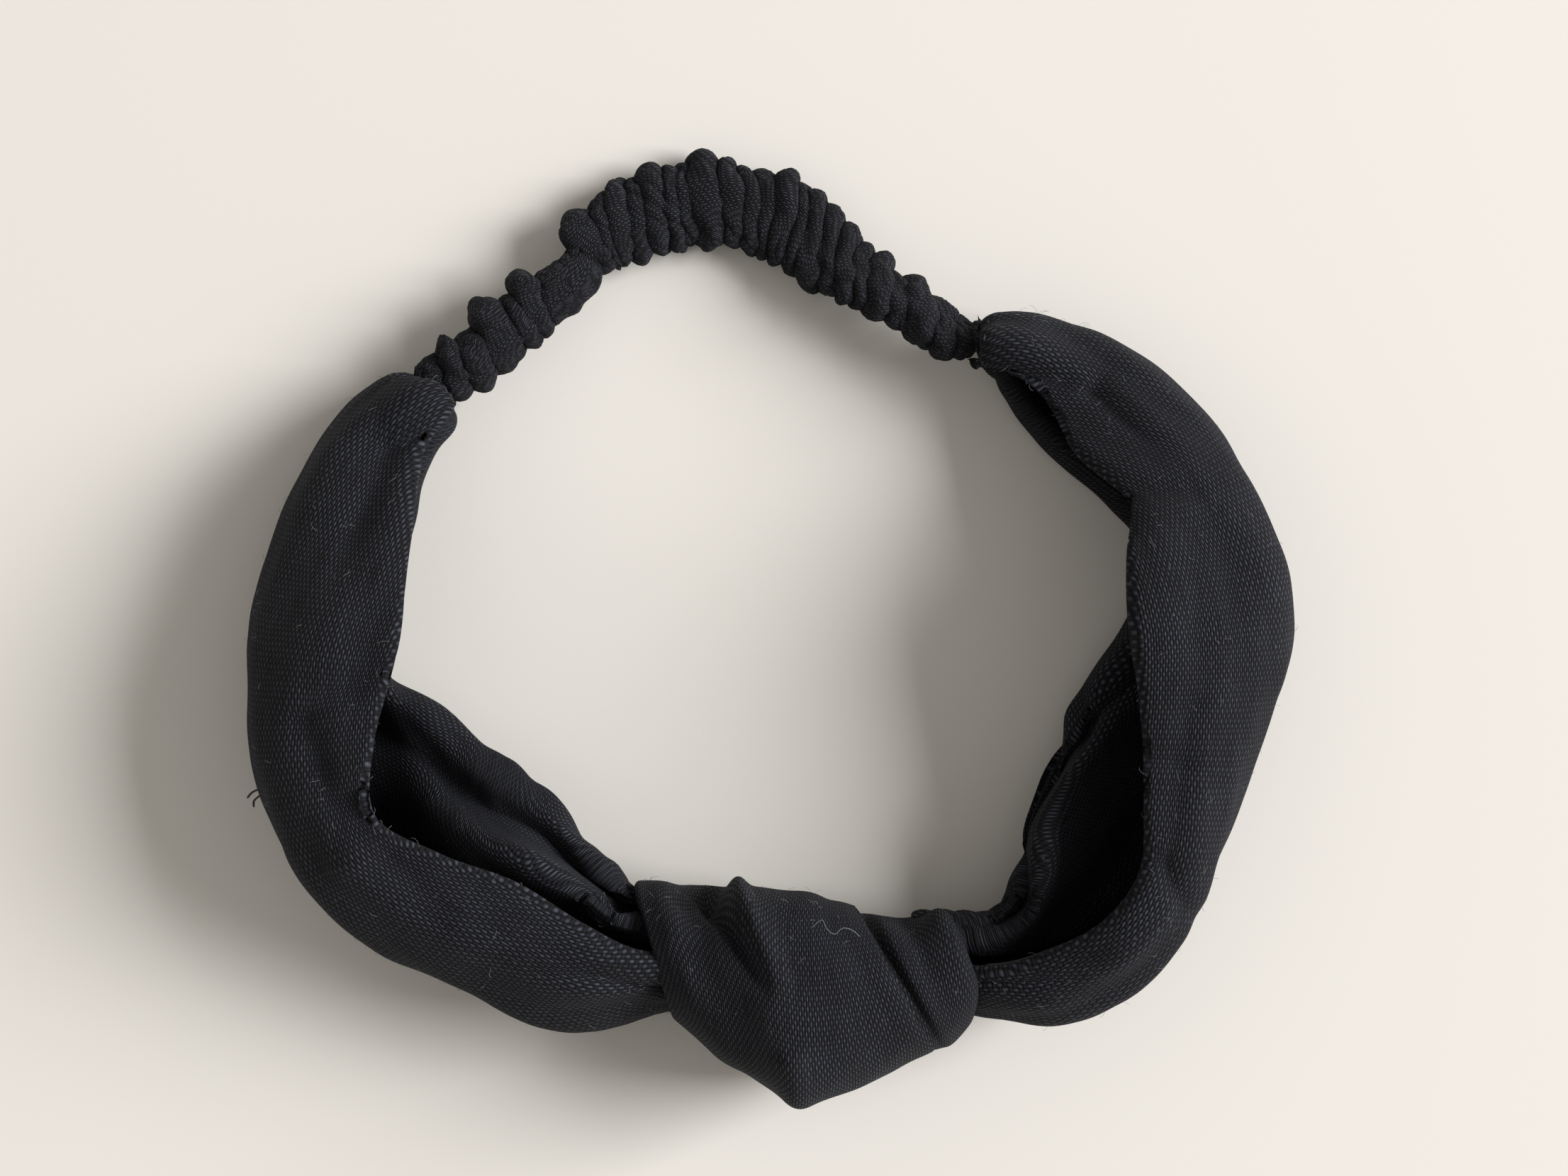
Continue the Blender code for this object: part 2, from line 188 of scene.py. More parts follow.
def arm_section(row, across):
    """One section of the band, from the lower lip round the outside to the ridge."""
    outer, ridge, lip, roll = Vector(row[0:2]), Vector(row[2:4]), Vector(row[4:6]), Vector(row[6:8])
    floor, top, lip_height, roll_height, dip = row[8:13]
    rise = top - floor
    keys = (
        (*lip.lerp(outer, 0.05), lip_height - 4.5),
        (*lip, lip_height - 1.6),
        (*lip.lerp(roll, 0.27), lip_height + 1.2),
        (*lip.lerp(roll, 0.66), (lip_height + roll_height) / 2 - dip),
        (*roll, roll_height),
        (*roll.lerp(outer, 0.45), floor + 0.25 * (roll_height - floor)),
        (*lip.lerp(outer, 0.86), floor),
        (*outer, floor + 0.42 * rise),
        (*outer.lerp(ridge, 0.10), floor + 0.78 * rise),
        (*outer.lerp(ridge, 0.50), floor + 0.98 * rise),
        (*ridge, top),
        (*ridge.lerp(outer, 0.06), top - 2.4),
    )
    return [smooth_row(keys, i / (across - 1)) for i in range(across)]


def crease_heights(creases, points):
    """How far all the creases lift or sink a grid of points, each crease a line seen from above."""
    heights = np.zeros(points.shape[:2])
    for start, end, size, half_width in creases:
        run = np.subtract(end, start)
        offset = points[..., :2] - start
        m = offset @ run / (run @ run)
        off = np.linalg.norm(offset - m[..., None] * run, axis=2) / half_width
        fade = np.where(m < 0, np.exp(-(m / 0.10) ** 2), np.clip(1 - m * m, 0, 1))
        heights += size * fade * np.exp(-off * off)
    return heights


def sheet_normals(points):
    """Unit normals of a grid of points, rows along the cloth and columns across it."""
    normals = np.cross(np.gradient(points, axis=0), np.gradient(points, axis=1))
    return normals / np.maximum(np.linalg.norm(normals, axis=2, keepdims=True), 1e-9)


def crumple(points, size, height, seed):
    """Soft irregular heights over a grid of points, in mm."""
    shift = Vector((seed * 13.7, seed * 5.1, seed * 9.3))
    return height * np.array([[noise.noise(Vector(p) / size + shift) for p in row] for row in points])


# The cloth is cut a little off its grain, and the grain follows the surface's own length by a part.
BIAS = 0.13
GRAIN_LEAN = 0.3


def cloth_grain(points, start):
    """Each point's place on the flat cloth in mm: first round the piece from a column, then along it."""
    closed = np.concatenate([points, points[:, :1]], axis=1)
    around = np.cumsum(np.linalg.norm(np.diff(closed, axis=1), axis=2), axis=1)
    around = np.concatenate([np.zeros((len(points), 1)), around], axis=1)
    around -= around[:, start:start + 1]
    steps = np.linalg.norm(np.diff(closed, axis=0), axis=2)
    along = np.concatenate([np.zeros((1, closed.shape[1])), np.cumsum(steps, axis=0)])
    middle = along[len(along) // 2]
    mean = along.mean(axis=1, keepdims=True)
    along = GRAIN_LEAN * (along - middle) + (1 - GRAIN_LEAN) * (mean - mean[len(mean) // 2])
    return np.stack([around + BIAS * along, along - BIAS * around], axis=2)


def cloth_folds(grain, width, length, height, seed):
    """Long soft folds that run along the cloth, in mm."""
    spots = grain / (width, length) + (seed * 13.7, seed * 5.1)
    return height * np.array([[noise.noise((a, b, seed)) for a, b in row] for row in spots])


def extrude_rings(bm, rings):
    """Draws the first closed ring, then extrudes it through all the others."""
    verts = [bm.verts.new(point) for point in rings[0]]
    edges = [bm.edges.new(pair) for pair in zip(verts, verts[1:] + verts[:1])]
    rows = [verts]
    for ring in rings[1:]:
        made = bmesh.ops.extrude_edge_only(bm, edges=edges)["geom"]
        new = {item for item in made if isinstance(item, bmesh.types.BMVert)}
        verts = [next(e.other_vert(v) for e in v.link_edges if e.other_vert(v) in new) for v in verts]
        edges = [
            item for item in made
            if isinstance(item, bmesh.types.BMEdge) and item.verts[0] in new and item.verts[1] in new
        ]
        for vert, point in zip(verts, ring):
            vert.co = point
        rows.append(verts)
    return rows


def lay_cloth(bm, rows, grain):
    """Gives the piece a UV map of its places on the flat cloth, given in mm, in metres."""
    layer = bm.loops.layers.uv.new("cloth")
    place = {vert: (k, i) for k, row in enumerate(rows) for i, vert in enumerate(row)}
    count = len(rows[0])
    for face in bm.faces:
        spots = [place[loop.vert] for loop in face.loops]
        wraps = max(i for _, i in spots) - min(i for _, i in spots) > count / 2
        for loop, (k, i) in zip(face.loops, spots):
            loop[layer].uv = grain[k, count if wraps and i == 0 else i] * MM


def make_piece(name, bm, mat):
    """Turns the faces outwards and makes the shape an object at the origin, in its material."""
    bmesh.ops.recalc_face_normals(bm, faces=bm.faces)
    mesh = bpy.data.meshes.new(name)
    bm.to_mesh(mesh)
    bm.free()
    mesh.shade_smooth()
    mesh.materials.append(mat)
    piece = bpy.data.objects.new(name, mesh)
    bpy.context.collection.objects.link(piece)
    return piece


def arm(name, table, creases, seed, mat):
    """The two layers of one arm as a closed flat tube. Also gives back its outer surface."""
    rows = stations(table, ARM_STATIONS)
    points = np.array([arm_section(row, ARM_ACROSS) for row in rows])
    normals = sheet_normals(points)
    widest = (ARM_STATIONS // 2, OUTER_SIDE)
    if normals[widest] @ (points[widest] * (1, 1, 0)) < 0:
        normals = -normals
    across = np.linspace(0, 1, ARM_ACROSS)[None, :]
    smooth_rings = np.concatenate([points, points[:, ::-1]], axis=1)
    grain = cloth_grain(smooth_rings, FACE_MIDDLE)
    flat = grain[:, :ARM_ACROSS]
    face = np.clip((across - OUTER_FACE_FROM) / 0.08, 0, 1)
    rim = np.clip((OUTER_FACE_TO - across) / 0.11, 0.0, 1.0)
    near_rim = 0.3 + 0.7 * rim
    heights = crease_heights(creases, points) * face * rim
    heights += cloth_folds(flat, *FINE_FOLDS, seed + 1) * rim
    heights += cloth_folds(flat, *LONG_FOLDS, seed) * near_rim
    heights += crumple(points, *SOFT_CRUMPLE, seed) + crumple(points, *FINE_CRUMPLE, seed + 1) * rim
    from_end = np.abs(flat[:, :1, 1] - flat[0, 0, 1])
    to_knot = np.abs(flat[:, :1, 1] - flat[-1, 0, 1])
    pleats = np.sin(flat[..., 0] / PLEAT_SPACING + 1.2 * crumple(points, *PLEAT_SWAY, seed + 3))
    depth = JOIN_PLEATS[0] * np.exp(-from_end / JOIN_PLEATS[1])
    depth = depth + KNOT_PLEATS[0] * np.exp(-to_knot / KNOT_PLEATS[1])
    heights += pleats * near_rim * depth
    points = points + normals * heights[..., None]
    fresh = sheet_normals(points)
    normals = fresh * np.sign(np.sum(fresh * normals, axis=2, keepdims=True))
    edge = np.abs(2 * across - 1)
    half = HALF_THICKNESS * (0.40 + 0.60 * np.sqrt(1 - edge ** 8))[..., None]
    lengths = np.linalg.norm(np.diff(points.mean(axis=1), axis=0), axis=1)
    reach = np.concatenate([[0.0], np.cumsum(lengths)])
    hem = np.clip(reach / HEM_LENGTH, 0, 1)[:, None, None]
    turned = HEM_TURN * (1 - np.sqrt(1 - (1 - hem) ** 2))
    outer = points + normals * (half - turned)
    inner = points - normals * (half + 0.4 * turned)
    outer[..., 2] = np.maximum(outer[..., 2], TABLE_CLEARANCE)
    inner[..., 2] = np.maximum(inner[..., 2], TABLE_CLEARANCE + LAYER_RISE)
    rings = np.concatenate([outer, inner[:, ::-1]], axis=1)
    bm = bmesh.new()
    grid = extrude_rings(bm, rings * MM)
    for row in (grid[0], grid[-1]):
        for i in range(ARM_ACROSS - 1):
            bm.faces.new((row[i], row[i + 1], row[-2 - i], row[-1 - i]))
    lay_cloth(bm, grid, grain)
    return make_piece(name, bm, mat), outer, normals


def linked(tree, kind, settings=None, **inputs):
    """A shader node with its settings, and its inputs set to values or joined to other sockets."""
    node = tree.nodes.new(kind)
    for key, value in (settings or {}).items():
        setattr(node, key, value)
    for key, value in inputs.items():
        socket = node.inputs[int(key[1:])] if key[1:].isdigit() else node.inputs[key.replace("_", " ")]
        if isinstance(value, bpy.types.NodeSocket):
            tree.links.new(value, socket)
        else:
            socket.default_value = value
    return node


def step(tree, operation, *values):
    """One step of arithmetic on sockets or numbers."""
    node = tree.nodes.new("ShaderNodeMath")
    node.operation = operation
    for socket, value in zip(node.inputs, values):
        if isinstance(value, bpy.types.NodeSocket):
            tree.links.new(value, socket)
        else:
            socket.default_value = value
    return node.outputs[0]


def plain_weave_group():
    """Linen's plain weave, worked out from a place on the cloth in metres.

    Height is the threads' relief, Thread is painted light and shade on the threads (warp floats
    painted lit, weft floats painted in shade, each thread painted darker towards its edges), and
    Slub is each thread's own lightness.
    """
    tree = bpy.data.node_groups.new("headband plain weave", "ShaderNodeTree")
    face = tree.interface
    face.new_socket("Place", in_out="INPUT", socket_type="NodeSocketVector")
    face.new_socket("Threads per metre", in_out="INPUT", socket_type="NodeSocketFloat")
    face.new_socket("Wander", in_out="INPUT", socket_type="NodeSocketFloat")
    face.new_socket("Height", in_out="OUTPUT", socket_type="NodeSocketFloat")
    face.new_socket("Thread", in_out="OUTPUT", socket_type="NodeSocketFloat")
    face.new_socket("Slub", in_out="OUTPUT", socket_type="NodeSocketFloat")
    given = tree.nodes.new("NodeGroupInput")
    result = tree.nodes.new("NodeGroupOutput")

    sway = linked(tree, "ShaderNodeTexNoise", Vector=given.outputs["Place"], Scale=240.0, Detail=3.0)
    centred = linked(tree, "ShaderNodeVectorMath", {"operation": "SUBTRACT"}, _0=sway.outputs["Color"],
                     _1=(0.5, 0.5, 0.5))
    swayed = linked(tree, "ShaderNodeVectorMath", {"operation": "SCALE"}, _0=centred.outputs[0],
                    Scale=given.outputs["Wander"])
    opened = linked(tree, "ShaderNodeVectorMath", {"operation": "MULTIPLY"}, _0=given.outputs["Place"],
                    _1=(1.0, 0.5, 1.0))
    counted = linked(tree, "ShaderNodeVectorMath", {"operation": "SCALE"}, _0=opened.outputs[0],
                     Scale=given.outputs["Threads per metre"])
    placed = linked(tree, "ShaderNodeVectorMath", {"operation": "ADD"}, _0=counted.outputs[0],
                    _1=swayed.outputs[0])
    split = linked(tree, "ShaderNodeSeparateXYZ", _0=placed.outputs[0])
    x, y = split.outputs[0], split.outputs[1]
    column, row = step(tree, "FLOOR", x), step(tree, "FLOOR", y)

    def thread(across, along, number, start):
        """One set of threads: round across, and dipping under every other crossing."""
        crown = step(tree, "SINE", step(tree, "MULTIPLY", step(tree, "FRACT", across), math.pi))
        crossing = step(tree, "ADD", step(tree, "ADD", along, number), start)
        turn = step(tree, "MULTIPLY", crossing, math.pi)
        dip = step(tree, "MULTIPLY_ADD", step(tree, "SINE", turn), 0.4, 0.6)
        return step(tree, "MULTIPLY", step(tree, "POWER", crown, 0.8), dip)

    warp = thread(x, y, column, 0.0)
    weft = step(tree, "MULTIPLY", thread(y, x, row, 1.0), 0.86)
    on_top = step(tree, "GREATER_THAN", warp, weft)
    below = step(tree, "SUBTRACT", 1.0, on_top)
    slow_x, slow_y = step(tree, "MULTIPLY", x, 0.10), step(tree, "MULTIPLY", y, 0.10)
    warp_place = linked(tree, "ShaderNodeCombineXYZ", _0=column, _1=slow_y, _2=3.1)
    weft_place = linked(tree, "ShaderNodeCombineXYZ", _0=slow_x, _1=row, _2=7.7)
    warp_slub = linked(tree, "ShaderNodeTexNoise", Vector=warp_place.outputs[0], Scale=0.93, Detail=2.0)
    weft_slub = linked(tree, "ShaderNodeTexNoise", Vector=weft_place.outputs[0], Scale=0.93, Detail=2.0)
    slub = step(tree, "ADD", step(tree, "MULTIPLY", warp_slub.outputs[0], on_top),
                step(tree, "MULTIPLY", weft_slub.outputs[0], below))
    height = step(tree, "MAXIMUM", warp, weft)
    # Painted shade: the weft floats get 0.30 of the warp floats' light, and each thread's light falls off
    # with its height to the power 2.2.
    shade = step(tree, "ADD", on_top, step(tree, "MULTIPLY", below, 0.30))
    painted_thread_light = step(tree, "MULTIPLY", step(tree, "POWER", height, 2.2), shade)
    tree.links.new(height, result.inputs["Height"])
    tree.links.new(painted_thread_light, result.inputs["Thread"])
    tree.links.new(slub, result.inputs["Slub"])
    return tree


PLAIN_WEAVE = plain_weave_group()


def cloth_material(name, painted_gap_shade, thread, threads_per_metre, relief, haze):
    """Woven cloth: painted shade between the threads and painted light on their floats, slubby, worn in
    patches and dusty in places.
    """
    mat = bpy.data.materials.new(name)
    mat.use_nodes = True
    tree = mat.node_tree
    shader = tree.nodes["Principled BSDF"]
    cloth = linked(tree, "ShaderNodeUVMap", {"uv_map": "cloth"})
    spot = linked(tree, "ShaderNodeTexCoord")
    weave = linked(tree, "ShaderNodeGroup", {"node_tree": PLAIN_WEAVE}, Place=cloth.outputs[0],
                   Threads_per_metre=threads_per_metre, Wander=0.6)
    worn = linked(tree, "ShaderNodeTexNoise", Vector=spot.outputs["Object"], Scale=45.0, Detail=4.0)
    lint = linked(tree, "ShaderNodeTexNoise", Vector=spot.outputs["Object"], Scale=700.0, Detail=2.0)
    specks = linked(tree, "ShaderNodeMapRange", Value=lint.outputs[0], From_Min=0.72, From_Max=0.80)
    # Painted light and shade: the weave's lit floats and shaded gaps set the base colour, varied by the
    # slubs and the worn patches.
    slub_and_painted_light = step(tree, "MULTIPLY", weave.outputs["Thread"],
                   step(tree, "MULTIPLY_ADD", weave.outputs["Slub"], 2.6, -0.35))
    worn_slub_and_painted_light = step(tree, "MULTIPLY", slub_and_painted_light, step(tree, "MULTIPLY_ADD", worn.outputs[0], 1.3, 0.35))
    dye_and_painted_light = linked(tree, "ShaderNodeMix", {"data_type": "RGBA"}, _0=worn_slub_and_painted_light, _6=(*painted_gap_shade, 1), _7=(*thread, 1))
    dusted = linked(tree, "ShaderNodeMix", {"data_type": "RGBA"},
                    _0=step(tree, "MULTIPLY", specks.outputs[0], 0.5), _6=dye_and_painted_light.outputs[2],
                    _7=(0.10, 0.103, 0.11, 1))
    tree.links.new(dusted.outputs[2], shader.inputs["Base Color"])
    rough = linked(tree, "ShaderNodeMapRange", Value=weave.outputs["Thread"], To_Min=0.95, To_Max=0.60)
    tree.links.new(rough.outputs[0], shader.inputs["Roughness"])
    lifted = step(tree, "MULTIPLY", weave.outputs["Height"],
                  step(tree, "MULTIPLY_ADD", weave.outputs["Slub"], 0.8, 0.6))
    bump = linked(tree, "ShaderNodeBump", Height=lifted, Strength=1.0, Distance=relief)
    tree.links.new(bump.outputs[0], shader.inputs["Normal"])
    shader.inputs["Specular IOR Level"].default_value = 0.22
    shader.inputs["Sheen Weight"].default_value = haze
    shader.inputs["Sheen Roughness"].default_value = 0.35
    shader.inputs["Sheen Tint"].default_value = (0.60, 0.65, 0.74, 1)
    return mat


LINEN = cloth_material("charcoal linen", painted_gap_shade=(0.0008, 0.0008, 0.0013), thread=(0.041, 0.045, 0.063),
                       threads_per_metre=2250.0, relief=0.00028, haze=0.018)

left_arm, left_outer, left_normals = arm("left_arm", LEFT_ARM, LEFT_CREASES, 1, LINEN)
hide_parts("left_arm_outer_panel", "left_arm_lining_panel")
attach(left_arm, "front_band")


# --- Right arm --------------------------------------------------------------------------------
# The other pass of the same tube. Its lower lip shows inside the ring near both ends, and a fold
# of the cloth lies along the lip before the band turns sharply into the knot.

RIGHT_ARM = (
    ((38.0, 55.2), (37.6, 48.0), (39.4, 49.0), (38.6, 50.8), 4.4, 16.0, 6.6, 5.0, 0.0),
    ((45.6, 56.4), (43.0, 46.2), (42.8, 45.6), (43.5, 49.0), 3.2, 17.8, 6.4, 3.6, 0.0),
    ((53.2, 54.2), (49.4, 41.4), (45.6, 40.0), (47.7, 44.6), 2.2, 18.4, 6.2, 2.6, 0.0),
    ((66.8, 46.8), (55.2, 32.0), (52.5, 31.5), (57.4, 36.4), 1.4, 20.6, 5.6, 1.8, 0.0),
    ((81.0, 32.6), (63.9, 23.1), (63.0, 22.8), (69.4, 26.4), 1.4, 27.0, 5.6, 1.8, 0.0),
    ((89.2, 15.0), (63.8, 13.0), (69.5, 13.0), (77.4, 14.0), 1.4, 34.3, 6.0, 1.8, 0.0),
    ((91.4, 1.2), (64.6, 0.8), (66.8, -0.3), (75.4, 0.0), 1.4, 36.5, 7.0, 2.0, 0.0),
    ((88.6, -14.0), (65.8, -10.8), (58.2, -11.2), (66.5, -13.0), 1.4, 36.0, 9.0, 9.0, 0.5),
    ((82.8, -31.6), (66.0, -26.5), (52.6, -22.6), (56.6, -24.0), 1.4, 35.0, 11.0, 18.0, 4.5),
    ((75.8, -47.8), (66.0, -42.0), (47.8, -33.6), (50.6, -35.4), 1.4, 33.5, 13.0, 20.5, 5.5),
    ((65.0, -61.4), (59.6, -52.0), (46.2, -41.6), (49.0, -44.0), 1.4, 31.5, 15.0, 21.0, 5.5),
    ((50.6, -67.6), (49.4, -57.6), (44.2, -47.2), (46.8, -51.4), 1.4, 28.5, 16.0, 20.0, 5.0),
    ((39.2, -66.4), (40.6, -60.4), (38.6, -51.6), (40.0, -55.5), 2.0, 26.0, 16.0, 19.0, 3.0),
    ((27.0, -66.0), (28.0, -60.0), (27.0, -53.5), (27.5, -56.5), 5.0, 21.0, 14.0, 17.0, 2.0),
)
RIGHT_CREASES = (
    ((40.0, 46.5), (62.0, 40.5), -2.2, 2.1),
    ((58.0, 42.0), (71.0, 29.0), -1.7, 2.6),
    ((39.0, 50.0), (60.0, 47.0), 1.4, 2.9),
    ((63.0, 22.5), (77.0, 24.0), -2.0, 2.2),
    ((65.5, 20.0), (70.0, -6.0), 1.2, 2.4),
    ((73.0, 16.0), (76.0, -16.0), -1.2, 3.1),
    ((66.0, -22.0), (80.0, -26.0), -1.0, 2.4),
    ((72.0, -14.0), (68.0, -46.0), -1.4, 2.6),
    ((68.0, -40.0), (74.0, -52.0), -1.5, 2.2),
    ((38.0, -62.0), (56.0, -60.0), -1.8, 1.8),
    ((38.0, -66.0), (60.0, -65.0), 1.2, 1.8),
)

right_arm, right_outer, right_normals = arm("right_arm", RIGHT_ARM, RIGHT_CREASES, 5, LINEN)
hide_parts("right_arm_outer_panel", "right_arm_lining_panel")
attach(right_arm, "front_band")


# --- Edge seams -------------------------------------------------------------------------------
# The band is turned right side out after sewing, so its seam lies as a narrow pressed welt along
# the ridge of each arm.

def tube_rings(path, radius, sides):
    """Rings round a path in mm, closed to a small round end at both ends."""
    rings = []
    side = Vector((0.31, 0.17, 0.94))
    last = len(path) - 1
    for i, point in enumerate(path):
        ahead = (path[min(i + 1, last)] - path[max(i - 1, 0)]).normalized()
        side = (side - ahead * side.dot(ahead)).normalized()
        other = ahead.cross(side)
        size = radius * (0.35 if i in (0, last) else 1.0)
        turns = [2 * math.pi * k / sides for k in range(sides)]
        rings.append([(point + size * (side * math.cos(t) + other * math.sin(t))) * MM for t in turns])
    return rings


def add_tube(bm, path, radius, sides):
    """Adds one closed tube along a path in mm."""
    rows = extrude_rings(bm, tube_rings(path, radius, sides))
    bm.faces.new(rows[0])
    bm.faces.new(rows[-1])


def thread_material(name, dark, light, gloss):
    """Spun thread or fibre, with painted highlights where its plies stand out."""
    mat = bpy.data.materials.new(name)
    mat.use_nodes = True
    tree = mat.node_tree
    shader = tree.nodes["Principled BSDF"]
    spot = linked(tree, "ShaderNodeTexCoord")
    plies = linked(tree, "ShaderNodeTexNoise", Vector=spot.outputs["Object"], Scale=2600.0, Detail=3.0)
    # Painted highlight: the colour runs from dark to light with the same ply height that drives the bump.
    dye_and_painted_light = linked(tree, "ShaderNodeMix", {"data_type": "RGBA"}, _0=plies.outputs[0], _6=(*dark, 1),
                  _7=(*light, 1))
    tree.links.new(dye_and_painted_light.outputs[2], shader.inputs["Base Color"])
    rough = linked(tree, "ShaderNodeMapRange", Value=plies.outputs[0], To_Min=0.9, To_Max=0.55)
    tree.links.new(rough.outputs[0], shader.inputs["Roughness"])
    bump = linked(tree, "ShaderNodeBump", Height=plies.outputs[0], Strength=0.5, Distance=0.00008)
    tree.links.new(bump.outputs[0], shader.inputs["Normal"])
    shader.inputs["Specular IOR Level"].default_value = gloss
    return mat


SEAM_THREAD = thread_material("charcoal sewing thread", dark=(0.006, 0.006, 0.008),
                              light=(0.045, 0.047, 0.055), gloss=0.35)
WELT_RADIUS = 0.35
WELT_SINK = Vector((0, 0, 1.25))
WELT_STATIONS = slice(8, -16, 2)
RIDGE_COLUMN = -4


def edge_seam(name, outer, node):
    """A slim welt along the ridge of an arm."""
    line = outer[:, RIDGE_COLUMN].copy()
    for _ in range(12):
        line[1:-1] = (line[:-2] + line[1:-1] * 2 + line[2:]) / 4
    bm = bmesh.new()
    add_tube(bm, [Vector(p) - WELT_SINK for p in line[WELT_STATIONS]], WELT_RADIUS, 8)
    seam = make_piece(name, bm, SEAM_THREAD)
    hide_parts(node)
    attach(seam, "front_band")
    return seam


left_seam = edge_seam("left_edge_welt", left_outer, "left_arm_edge_seam")
right_seam = edge_seam("right_edge_welt", right_outer, "right_arm_edge_seam")


# --- Knot -------------------------------------------------------------------------------------
# The band goes once round itself. The wrap lies on the slant, drawn tight, with a deep crease
# down from its top edge and a pointed fold in front; the pass beside it sits a little lower.

# Along each pass, in mm: its back edge, its front edge and the height of its top.
KNOT_WRAP = (
    ((-23.6, -45.2), (-16.2, -69.4), 27.0),
    ((-14.6, -45.6), (-8.8, -76.4), 32.0),
    ((-5.6, -46.2), (-0.8, -81.6), 35.0),
    ((4.7, -47.4), (7.0, -85.4), 36.0),
    ((11.4, -49.2), (19.4, -80.2), 34.5),
    ((16.4, -50.4), (31.0, -74.9), 31.0),
)
KNOT_UNDER_PASS = (
    ((10.0, -52.0), (24.0, -75.0), 28.0),
    ((18.6, -51.4), (30.4, -75.4), 30.8),
    ((25.6, -52.2), (34.4, -73.2), 30.4),
    ((31.0, -51.2), (37.2, -70.4), 28.6),
    ((35.0, -51.6), (38.0, -66.8), 25.0),
)
KNOT_STATIONS = 120
KNOT_AROUND = 220
KNOT_WALL = 2.6
UNDERSIDE = -1.6
PASS_LENGTH = 55.0
CREASES_FROM_HEIGHT = 10.0
KNOT_FOLDS = (7.0, 26.0, 0.7)
KNOT_CRUMPLE = (17.0, 0.8)
KNOT_FINE_CRUMPLE = (6.0, 0.25)

WRAP_CREASES = (
    ((-9.7, -45.6), (1.1, -64.0), -4.4, 1.8),
    ((-12.8, -47.0), (-2.8, -67.0), -2.8, 4.2),
    ((-6.0, -44.4), (3.8, -63.0), 2.3, 2.4),
    ((-3.2, -45.6), (0.6, -54.0), -0.7, 1.4),
    ((-13.6, -56.0), (-2.5, -73.5), -1.5, 2.8),
    ((-19.0, -44.0), (-9.0, -72.0), 0.9, 2.4),
    ((8.0, -47.0), (22.0, -76.0), 0.6, 5.0),
    ((4.6, -74.0), (6.5, -86.0), 1.3, 2.4),
    ((12.6, -48.0), (29.0, -76.0), 0.5, 1.8),
)
PASS_CREASES = (
    ((17.4, -49.6), (32.0, -76.0), -2.0, 0.9),
    ((30.2, -50.0), (38.0, -69.0), 1.1, 1.8),
    ((25.0, -51.0), (34.0, -72.0), -1.0, 2.0),
    ((34.0, -52.0), (38.0, -62.0), -0.9, 1.2),
)


def knot_pass(name, table, creases, roll, seed, mat):
    """One pass of the band round the knot: a flat sleeve with its two open ends rolled in."""
    rows = stations(table, KNOT_STATIONS)
    turns = np.linspace(0, 2 * math.pi, KNOT_AROUND, endpoint=False)
    across = np.sign(np.cos(turns)) * np.abs(np.cos(turns)) ** 0.85
    up = np.sign(np.sin(turns)) * np.abs(np.sin(turns)) ** 0.9
    outer = np.zeros((KNOT_STATIONS, KNOT_AROUND, 3))
    for i, row in enumerate(rows):
        back, front = np.array(row[0:2]), np.array(row[2:4])
        outer[i, :, :2] = (back + front) / 2 + np.outer(across, (front - back) / 2)
        outer[i, :, 2] = UNDERSIDE + (row[4] - UNDERSIDE) / 2 * (1 + up)
    normals = sheet_normals(np.concatenate([outer[:, -1:], outer, outer[:, :1]], axis=1))[:, 1:-1]
    centre = outer.mean(axis=1, keepdims=True)
    normals *= np.sign(np.sum(normals * (outer - centre), axis=2, keepdims=True))
    smooth_rings = np.concatenate([outer, outer[::-1]], axis=0)
    grain = cloth_grain(smooth_rings, KNOT_AROUND // 4)
    flat = grain[:KNOT_STATIONS, :KNOT_AROUND]
    upper = np.clip((outer[..., 2] - CREASES_FROM_HEIGHT) / 8.0, 0, 1)
    heights = crease_heights(creases, outer) * upper
    heights += cloth_folds(flat[..., ::-1], *KNOT_FOLDS, seed) + crumple(outer, *KNOT_CRUMPLE, seed)
    heights += crumple(outer, *KNOT_FINE_CRUMPLE, seed + 1)
    outer = outer + normals * heights[..., None]
    last = KNOT_STATIONS - 1
    ends = np.minimum(np.arange(KNOT_STATIONS), last - np.arange(KNOT_STATIONS))[:, None, None]
    near = np.clip(ends * PASS_LENGTH / KNOT_STATIONS / roll, 0, 1)
    outer = outer - normals * roll * (1 - np.sqrt(1 - (1 - near) ** 2))
    inner = outer - normals * KNOT_WALL
    outer[..., 2] = np.maximum(outer[..., 2], TABLE_CLEARANCE)
    inner[..., 2] = np.maximum(inner[..., 2], TABLE_CLEARANCE + KNOT_WALL)
    rings = np.concatenate([outer, inner[::-1]], axis=0)
    bm = bmesh.new()
    grid = extrude_rings(bm, rings * MM)
    for i in range(KNOT_AROUND):
        j = (i + 1) % KNOT_AROUND
        bm.faces.new((grid[-1][i], grid[-1][j], grid[0][j], grid[0][i]))
    lay_cloth(bm, grid, grain[..., ::-1])
    return make_piece(name, bm, mat), outer, normals


knot_wrap, wrap_outer, wrap_normals = knot_pass("knot_wrap_cloth", KNOT_WRAP, WRAP_CREASES,
                                                roll=2.0, seed=11, mat=LINEN)
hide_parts("knot_wrap", "knot_core")
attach(knot_wrap, "front_band")

knot_under, _, _ = knot_pass("knot_under_pass_cloth", KNOT_UNDER_PASS, PASS_CREASES,
                             roll=2.6, seed=17, mat=LINEN)
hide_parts("knot_under_pass")
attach(knot_under, "front_band")


# --- Elastic casing ---------------------------------------------------------------------------
# A narrow tube of the same cloth, gathered over its elastic to about three quarters of its length
# here. It lies flat across the back, and each leg twists on edge into knobs on its way to its arm.

